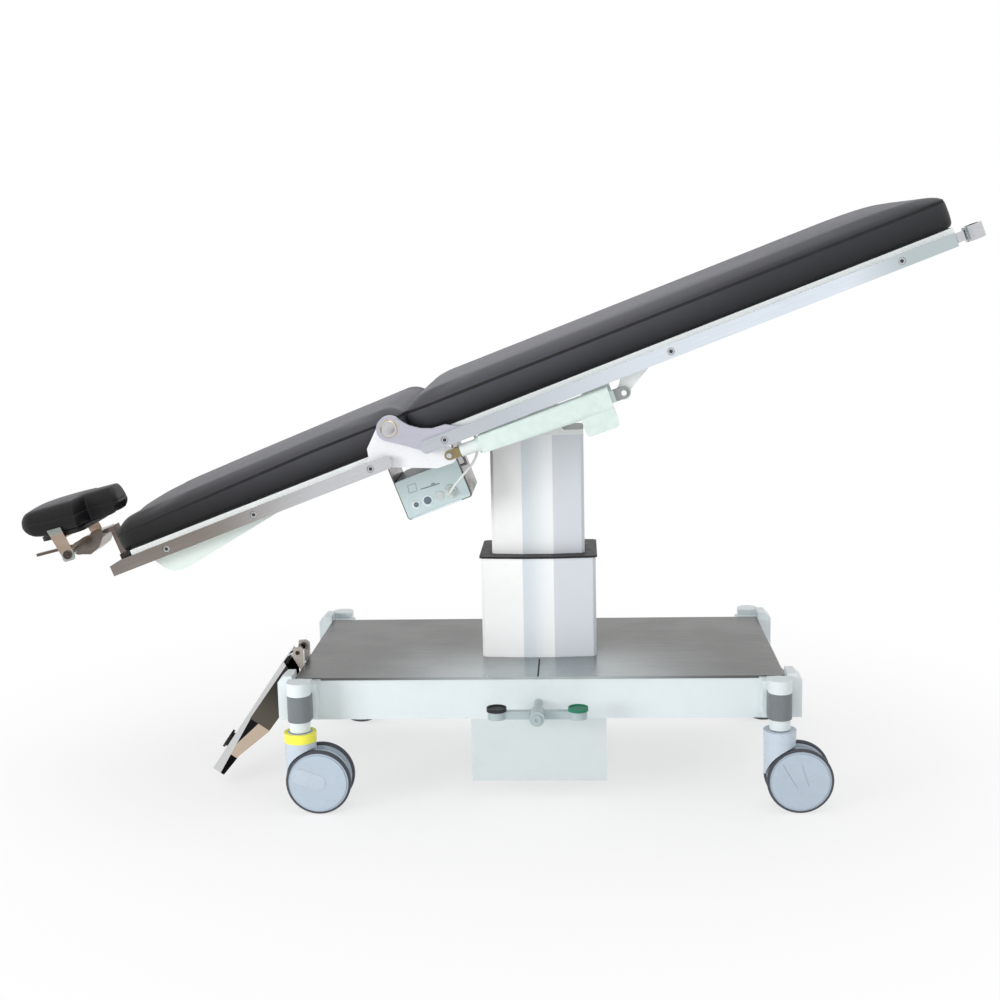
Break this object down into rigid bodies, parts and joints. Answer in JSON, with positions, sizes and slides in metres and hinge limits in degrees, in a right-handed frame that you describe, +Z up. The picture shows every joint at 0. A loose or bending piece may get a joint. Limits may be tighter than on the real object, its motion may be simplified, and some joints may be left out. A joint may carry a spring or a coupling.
{
  "type": "ear, nose and throat operating table",
  "caption": "Operating table on a wheeled base: telescoping column, tilting seat section with side rails, powered back section and clamped headrest.",
  "frame": {"origin": "centre of the whole table's footprint, on the floor", "axes": "+X along the table to the foot end, +Z up, -Y the near side with the control box"},
  "size_m": [1.8743, 0.668, 1.1355],
  "materials": {
    "white_paint": "satin enamel",
    "stainless_sheet": "brushed",
    "sleeve_grey": "satin",
    "steel": "satin",
    "drive_grey": "satin",
    "black_plastic": "matte",
    "pedal_grey": "satin",
    "pedal_rubber": "matte",
    "upholstery": "satin leatherette over foam",
    "side_rail": "satin ground",
    "cap_steel": "turned",
    "hinge_aluminium": "satin",
    "box_paint": "satin",
    "plug_plastic": "gloss",
    "cable_sheath": "satin",
    "actuator_plastic": "satin",
    "ram_tube": "satin with a brass fork",
    "strap_steel": "satin",
    "lever_brown": "gloss",
    "tray_steel": "mirror-like",
    "button_rubber": "matte",
    "caster_plastic": "satin",
    "ring_yellow": "gloss",
    "tyre_grey": "matte"
  },
  "bodies": {
    "base": {"base_frame": "white_paint", "cover_head": "stainless_sheet", "cover_foot": "stainless_sheet", "arm_sleeves": "sleeve_grey", "caster_stems": "steel", "lower_housing": "white_paint", "power_pack": "drive_grey", "column_outer": "white_paint", "column_collar": "black_plastic", "lift_actuator": "steel"},
    "lock_near": {"lock_bar_near": "pedal_grey", "lock_pads_near": "pedal_rubber"},
    "lock_far": {"lock_bar_far": "pedal_grey", "lock_pads_far": "pedal_rubber"},
    "lift": {"column_inner": "white_paint", "lift_ram": "steel", "column_head": "white_paint", "tilt_drive": "drive_grey"},
    "tabletop": {"seat_frame": "white_paint", "seat_pad": "upholstery", "seat_rails": "side_rail", "seat_screws": "cap_steel", "hinge_plates": "hinge_aluminium", "hinge_pins": "cap_steel", "tilt_shaft": "steel", "control_box": "box_paint", "box_cradle": "steel", "motor_plug": "plug_plastic", "motor_cable": "cable_sheath", "pole_sockets": "steel"},
    "back": {"back_frame": "white_paint", "back_pad": "upholstery", "back_rails": "side_rail", "back_screws": "cap_steel", "lever_plates": "white_paint"},
    "actuator_near_body": {"actuator_near": "actuator_plastic"},
    "actuator_far_body": {"actuator_far": "actuator_plastic"},
    "ram_near_body": {"ram_near": "ram_tube"},
    "ram_far_body": {"ram_far": "ram_tube"},
    "head_arm_body": {"head_arm": "steel"},
    "release_lever": {"head_lever": "lever_brown"},
    "headrest": {"head_bracket": "strap_steel", "head_plate": "black_plastic", "head_pad": "upholstery"},
    "foot_tray_body": {"foot_tray": "tray_steel"},
    "button": {"foot_button": "button_rubber"},
    "swivel_head_near": {"caster_head_near": "caster_plastic", "caster_ring": "ring_yellow"},
    "roll_head_near": {"wheels_head_near": "caster_plastic", "tyres_head_near": "tyre_grey"},
    "swivel_head_far": {"caster_head_far": "caster_plastic"},
    "roll_head_far": {"wheels_head_far": "caster_plastic", "tyres_head_far": "tyre_grey"},
    "swivel_foot_near": {"caster_foot_near": "caster_plastic"},
    "roll_foot_near": {"wheels_foot_near": "caster_plastic", "tyres_foot_near": "tyre_grey"},
    "swivel_foot_far": {"caster_foot_far": "caster_plastic"},
    "roll_foot_far": {"wheels_foot_far": "caster_plastic", "tyres_foot_far": "tyre_grey"}
  },
  "joints": [
    {"name": "column_lift", "type": "slide", "parent": "base", "child": "lift", "axis": [0, 0, 1], "range_m": [-0.11, 0.15]},
    {"name": "tabletop_tilt", "type": "hinge", "parent": "lift", "child": "tabletop", "pos_m": [0.1192, 0, 0.74], "axis": [0, 1, 0], "range_deg": [-4.5, 45.5]},
    {"name": "back_hinge", "type": "hinge", "parent": "tabletop", "child": "back", "pos_m": [-0.14766, 0, 0.73418], "axis": [0, 1, 0], "range_deg": [0, 66]},
    {"name": "actuator_near_tilt", "type": "hinge", "parent": "tabletop", "child": "actuator_near_body", "pos_m": [0.28765, 0, 0.79401], "axis": [0, 1, 0], "range_deg": [-3.3, 0.1]},
    {"name": "ram_near_slide", "type": "slide", "parent": "actuator_near_body", "child": "ram_near_body", "axis": [-0.9459, 0, -0.3244], "range_m": [-0.0005, 0.1385]},
    {"name": "actuator_far_tilt", "type": "hinge", "parent": "tabletop", "child": "actuator_far_body", "pos_m": [0.28765, 0, 0.79401], "axis": [0, 1, 0], "range_deg": [-3.3, 0.1]},
    {"name": "ram_far_slide", "type": "slide", "parent": "actuator_far_body", "child": "ram_far_body", "axis": [-0.9459, 0, -0.3244], "range_m": [-0.0005, 0.1385]},
    {"name": "head_slide", "type": "slide", "parent": "back", "child": "head_arm_body", "axis": [-0.9367, 0, -0.3502], "range_m": [-0.04, 0.06]},
    {"name": "headrest_tilt", "type": "hinge", "parent": "head_arm_body", "child": "headrest", "pos_m": [-0.82944, 0, 0.46891], "axis": [0, 1, 0], "range_deg": [-28, 5]},
    {"name": "release_pull", "type": "hinge", "parent": "head_arm_body", "child": "release_lever", "pos_m": [-0.82944, 0, 0.46891], "axis": [0, 1, 0], "range_deg": [0, 15], "stiffness_Nm_per_rad": 2, "springref_deg": -5.73},
    {"name": "lock_near_rock", "type": "hinge", "parent": "base", "child": "lock_near", "pos_m": [0.1192, -0.3, 0.192], "axis": [0, 1, 0], "range_deg": [-20, 20]},
    {"name": "lock_far_rock", "type": "hinge", "parent": "base", "child": "lock_far", "pos_m": [0.1192, 0.3, 0.192], "axis": [0, 1, 0], "range_deg": [-20, 20]},
    {"name": "foot_tray_fold", "type": "hinge", "parent": "base", "child": "foot_tray_body", "pos_m": [-0.3668, -0.09, 0.267], "axis": [0, 1, 0], "range_deg": [0, 55]},
    {"name": "button_press", "type": "slide", "parent": "foot_tray_body", "child": "button", "axis": [0.8241, 0, -0.5664], "range_m": [0, 0.004], "stiffness_N_per_m": 500},
    {"name": "swivel_head_near_turn", "type": "hinge", "parent": "base", "child": "swivel_head_near", "pos_m": [-0.3368, -0.282, 0.1], "axis": [0, 0, 1], "continuous": true},
    {"name": "roll_head_near_spin", "type": "hinge", "parent": "swivel_head_near", "child": "roll_head_near", "pos_m": [-0.3008, -0.282, 0.0625], "axis": [0, 1, 0], "continuous": true},
    {"name": "swivel_head_far_turn", "type": "hinge", "parent": "base", "child": "swivel_head_far", "pos_m": [-0.3368, 0.282, 0.1], "axis": [0, 0, 1], "continuous": true},
    {"name": "roll_head_far_spin", "type": "hinge", "parent": "swivel_head_far", "child": "roll_head_far", "pos_m": [-0.3008, 0.282, 0.0625], "axis": [0, 1, 0], "continuous": true},
    {"name": "swivel_foot_near_turn", "type": "hinge", "parent": "base", "child": "swivel_foot_near", "pos_m": [0.5752, -0.282, 0.1], "axis": [0, 0, 1], "continuous": true},
    {"name": "roll_foot_near_spin", "type": "hinge", "parent": "swivel_foot_near", "child": "roll_foot_near", "pos_m": [0.6112, -0.282, 0.0625], "axis": [0, 1, 0], "continuous": true},
    {"name": "swivel_foot_far_turn", "type": "hinge", "parent": "base", "child": "swivel_foot_far", "pos_m": [0.5752, 0.282, 0.1], "axis": [0, 0, 1], "continuous": true},
    {"name": "roll_foot_far_spin", "type": "hinge", "parent": "swivel_foot_far", "child": "roll_foot_far", "pos_m": [0.6112, 0.282, 0.0625], "axis": [0, 1, 0], "continuous": true}
  ],
  "couplings": [
    {"joint": "lock_far_rock", "follows": "lock_near_rock", "ratio": 1},
    {"joint": "actuator_near_tilt", "follows": "back_hinge", "ratio": -0.0456},
    {"joint": "ram_near_slide", "follows": "back_hinge", "m_per_rad": 0.1131},
    {"joint": "actuator_far_tilt", "follows": "back_hinge", "ratio": -0.0456},
    {"joint": "ram_far_slide", "follows": "back_hinge", "m_per_rad": 0.1131}
  ]
}
